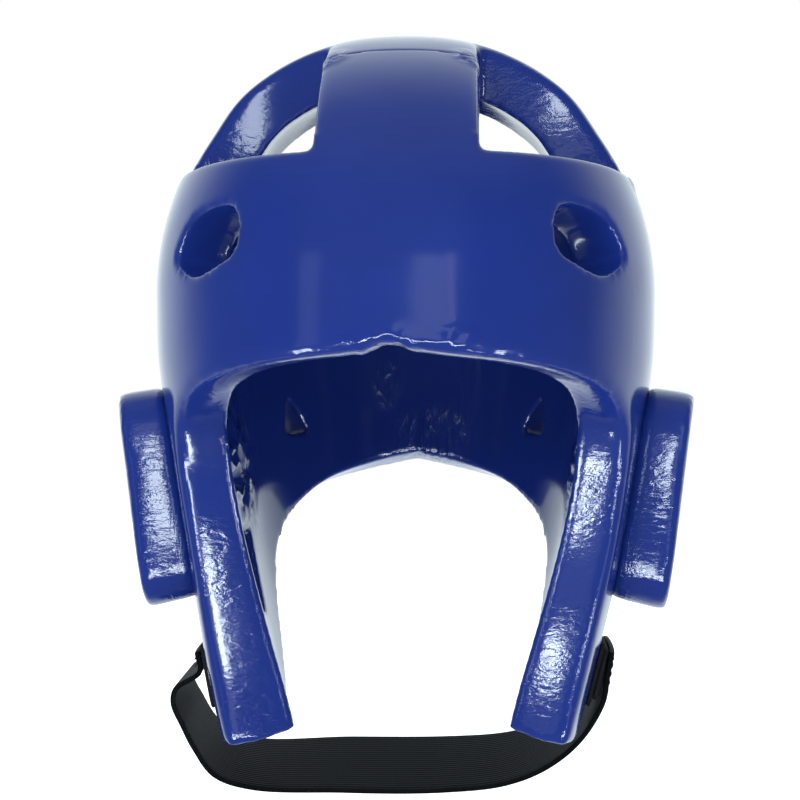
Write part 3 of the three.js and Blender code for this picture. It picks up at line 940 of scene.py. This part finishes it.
def dipped_vinyl():
    """Glossy on the skin, and rougher with brush strokes on the cut faces."""
    made, tree, shader = material("dipped_vinyl", Roughness=0.13)
    place = add_node(tree, "ShaderNodeTexCoord").outputs["Object"]
    cut_face = add_node(tree, "ShaderNodeAttribute", attribute_name="cut_face").outputs["Fac"]
    creased = add_node(tree, "ShaderNodeAttribute", attribute_name="creased").outputs["Fac"]
    rippled = add_node(tree, "ShaderNodeAttribute", attribute_name="rippled").outputs["Fac"]
    waves = multiply(tree, noise(tree, place, 26, 1.5), 0.5)
    grain = multiply(tree, noise(tree, place, 1100, 2, 0.6), 0.05)
    strokes = multiply(tree, noise(tree, stretched(tree, place, (1, 1, 2.2)), 190, 3, 0.55, 0.5), 0.34)
    patchy = add_node(tree, "ShaderNodeMapRange", {
        "Value": noise(tree, place, 34, 1), "From Min": 0.42, "From Max": 0.6, "To Min": 0.38, "To Max": 1.0})
    peel = multiply(tree, total(tree, grain, strokes), patchy.outputs[0])
    folds = noise(tree, stretched(tree, place, (1, 1, 0.3)), 260, 3, 0.55, 1.2)
    ripples = noise(tree, stretched(tree, place, (0.15, 0.15, 1)), 420, 2, 0.5, 0.4)
    height = total(tree, waves, multiply(tree, peel, cut_face))
    height = total(tree, height, multiply(tree, folds, creased))
    height = total(tree, height, multiply(tree, multiply(tree, ripples, rippled), 0.5))
    bump(tree, shader, height, 1.0, 0.0008)
    tint = blend(tree, noise(tree, place, 40, 2), deep_blue, lighter_blue)
    tree.links.new(tint, shader.inputs["Base Color"])
    return made


def ribbed_webbing():
    """Black elastic with ribs along it and picks across it."""
    made, tree, shader = material("ribbed_webbing", Roughness=0.65, Specular_IOR_Level=0.16)
    uv = add_node(tree, "ShaderNodeUVMap").outputs["UV"]
    ribs = add_node(tree, "ShaderNodeTexWave", {"Vector": uv, "Scale": 8.5, "Distortion": 0.0},
                    bands_direction="X").outputs["Fac"]
    picks = add_node(tree, "ShaderNodeTexWave", {"Vector": uv, "Scale": 60.0, "Distortion": 0.2},
                     bands_direction="Y").outputs["Fac"]
    bump(tree, shader, total(tree, ribs, multiply(tree, picks, 0.5)), 0.6, 0.00025)
    # Painted shade: the colour follows the ribs, darker in the grooves and lighter on the crests
    tree.links.new(blend(tree, ribs, rib_groove_shade, rib_grey), shader.inputs["Base Color"])
    return made


def napped_tape():
    """The hook and loop pieces."""
    made, tree, shader = material("napped_tape", Roughness=0.9)
    nap = noise(tree, add_node(tree, "ShaderNodeTexCoord").outputs["Object"], 1800, 2)
    bump(tree, shader, nap, 1.0, 0.0006)
    tree.links.new(blend(tree, nap, nap_black, nap_grey), shader.inputs["Base Color"])
    return made


vinyl = dipped_vinyl()
webbing = ribbed_webbing()
nap = napped_tape()
thread, _, _ = material("grey_thread", Roughness=0.7, Base_Color=(*thread_grey, 1))


def spread_cheek(piece):
    """The wearer's right cheek guard hangs a little wider and lower than the left one."""
    p = points_of(piece) * 1000
    share = (1 - smooth_step(p[:, 2], -255, -170)) * (1 - smooth_step(p[:, 0], -80, -20))
    outer = smooth_step(skin_depth(p), 22, 4) if piece is shell else 1
    p[:, 0] -= cheek_spread * share * (0.35 + 0.65 * outer)
    p[:, 2] -= cheek_lowering * share
    place_points(piece, p / 1000)


def finish_piece(piece, made, node=None):
    """Gives a piece its material and the solid that it replaces, if it replaces one."""
    piece.data.materials.clear()
    piece.data.materials.append(made)
    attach(piece, "root")
    if node:
        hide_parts(node)


def paint_foam(piece):
    """Marks the cut faces of the foam, where the film dried rough, and the places where it is creased."""
    p = points_of(piece) * 1000
    along = np.abs((normals_of(piece) * skin_normals(p)).sum(1))
    cut_face = 1 - smooth_step(along, 0.72, 0.97)
    if piece is shell:
        for angle, rise, reach in glossy_holes:
            middle = wall(angle, waist + rise, 10)[0]
            cut_face *= 1 - zone(p, middle, (-reach, reach, reach))
    paint(piece, "cut_face", cut_face)
    paint(piece, "creased", sum(strength * zone(p, *spot) for strength, *spot in film_creases))
    paint(piece, "rippled", zone(p, *pad_ripples) if piece in ear_pads.values() else np.zeros(len(p)))


for piece in (shell, strap, patches[-1], stitching[-1]):
    spread_cheek(piece)
foam_pieces = (shell, crown, *ear_pads.values())
for piece in foam_pieces:
    paint_foam(piece)

finish_piece(shell, vinyl, "head_shell")
finish_piece(crown, vinyl, "crown_pad")
finish_piece(ear_pads[1], vinyl, "ear_pad_left")
finish_piece(ear_pads[-1], vinyl, "ear_pad_right")
finish_piece(strap, webbing, "chin_strap")
finish_piece(patches[1], nap, "anchor_patch_left")
finish_piece(patches[-1], nap, "anchor_patch_right")
finish_piece(tab, nap, "strap_tab")
for row in stitching.values():
    finish_piece(row, thread)

# Floor, light and camera
deselect()
bpy.ops.mesh.primitive_plane_add(size=2)
floor = bpy.context.object
floor.name = "pale_floor"
floor_level = -0.42
place_points(floor, [(-4, -3, floor_level), (4, -3, floor_level), (-4, 3, floor_level), (4, 3, floor_level)])
edit(floor, outwards)
paper, _, _ = material("pale_paper", Roughness=0.9, Base_Color=(*paper_white, 1),
                       Emission_Color=(1, 1, 1, 1), Emission_Strength=0.7)
floor.data.materials.append(paper)
floor.visible_glossy = False


def white_room(front, sides, back, above, below):
    """A room that is bright behind the object and dim in front, seen by the camera as plain white."""
    world = bpy.data.worlds.new("white_room")
    bpy.context.scene.world = world
    world.use_nodes = True
    tree = world.node_tree
    generated = add_node(tree, "ShaderNodeTexCoord").outputs["Generated"]
    way = add_node(tree, "ShaderNodeSeparateXYZ", {0: generated})

    def ramp(value, start, end, low, high):
        return add_node(tree, "ShaderNodeMapRange", {"Value": value, "From Min": start, "From Max": end,
                                                     "To Min": low, "To Max": high},
                        interpolation_type="SMOOTHSTEP").outputs[0]

    depth = ramp(way.outputs["Y"], -0.1, 0.75, 0, back - front)
    aside = add_node(tree, "ShaderNodeMath", {0: way.outputs["X"]}, operation="ABSOLUTE").outputs[0]
    wings = ramp(aside, 0.75, 1.0, 0, sides - front)
    over = ramp(way.outputs["Z"], 0.55, 1.0, front, above)
    under = ramp(way.outputs["Z"], -0.2, -0.5, 0, below - front)
    glow = total(tree, total(tree, total(tree, depth, wings), over), under)
    seen = add_node(tree, "ShaderNodeLightPath").outputs["Is Camera Ray"]
    inputs = {"Factor": seen, 2: glow, 3: 1.0}
    strength = add_node(tree, "ShaderNodeMix", inputs, data_type="FLOAT").outputs[0]
    backdrop = tree.nodes["Background"]
    tree.links.new(strength, backdrop.inputs["Strength"])
    tree.links.new(blend(tree, seen, cool_light, (1, 1, 1)), backdrop.inputs["Color"])


def softbox(name, azimuth, lift, distance, width, height, power, glossy=True, colour=cool_light):
    """A lamp round the object. Azimuth grows from the front to the right, and lift is the angle above it."""
    light = bpy.data.lights.new(name, "AREA")
    light.shape = "RECTANGLE"
    light.size, light.size_y, light.energy = width, height, power
    light.color = colour
    lamp = bpy.data.objects.new(name, light)
    bpy.context.scene.collection.objects.link(lamp)
    azimuth, lift = math.radians(azimuth), math.radians(lift)
    target = Vector((0, 0, -0.13))
    way = Vector((math.sin(azimuth) * math.cos(lift), -math.cos(azimuth) * math.cos(lift), math.sin(lift)))
    lamp.location = target + way * distance
    lamp.rotation_euler = way.to_track_quat("Z", "Y").to_euler()
    lamp.visible_glossy = glossy
    lamp.visible_camera = False
    return lamp


def glint_lamp(name, place, target, width, height, power):
    """A small lamp close by that only shows as a highlight."""
    lamp = softbox(name, 0, 0, 1, width, height, power)
    lamp.location = place
    lamp.rotation_euler = (Vector(place) - Vector(target)).to_track_quat("Z", "Y").to_euler()
    lamp.visible_diffuse = False


white_room(front=0.16, sides=0.22, back=1.3, above=0.5, below=0.2)
softbox("front_fill", -10, 25, 1.6, 1.6, 1.2, 27, glossy=False)
softbox("low_front_box", 3, -24, 0.9, 0.42, 0.07, 3.2)
softbox("back_fill", 175, 20, 1.6, 1.2, 1.2, 9, glossy=False)
softbox("window_middle", 6, 2, 1.5, 0.26, 0.7, 0.6)
softbox("window_side", -30, 0, 1.6, 0.25, 0.9, 0.35)
softbox("window_narrow", 13, 2, 1.5, 0.07, 0.75, 0.3, colour=violet_light)
for lamp_name, settings in glint_lamps.items():
    glint_lamp(lamp_name, *settings)

camera_turn = math.radians(2.3)
camera_distance = 0.6
eye_level = -0.1245
camera_data = bpy.data.cameras.new("camera")
camera_data.lens = 67.5
camera_data.sensor_width = 36
camera_data.shift_x = -0.01
camera = bpy.data.objects.new("camera", camera_data)
bpy.context.scene.collection.objects.link(camera)
aside, ahead = math.sin(camera_turn), math.cos(camera_turn)
camera.location = (camera_distance * aside, -camera_distance * ahead, eye_level)
camera.rotation_euler = (math.pi / 2, 0, camera_turn)
bpy.context.scene.camera = camera
bpy.context.scene.view_settings.view_transform = "Standard"
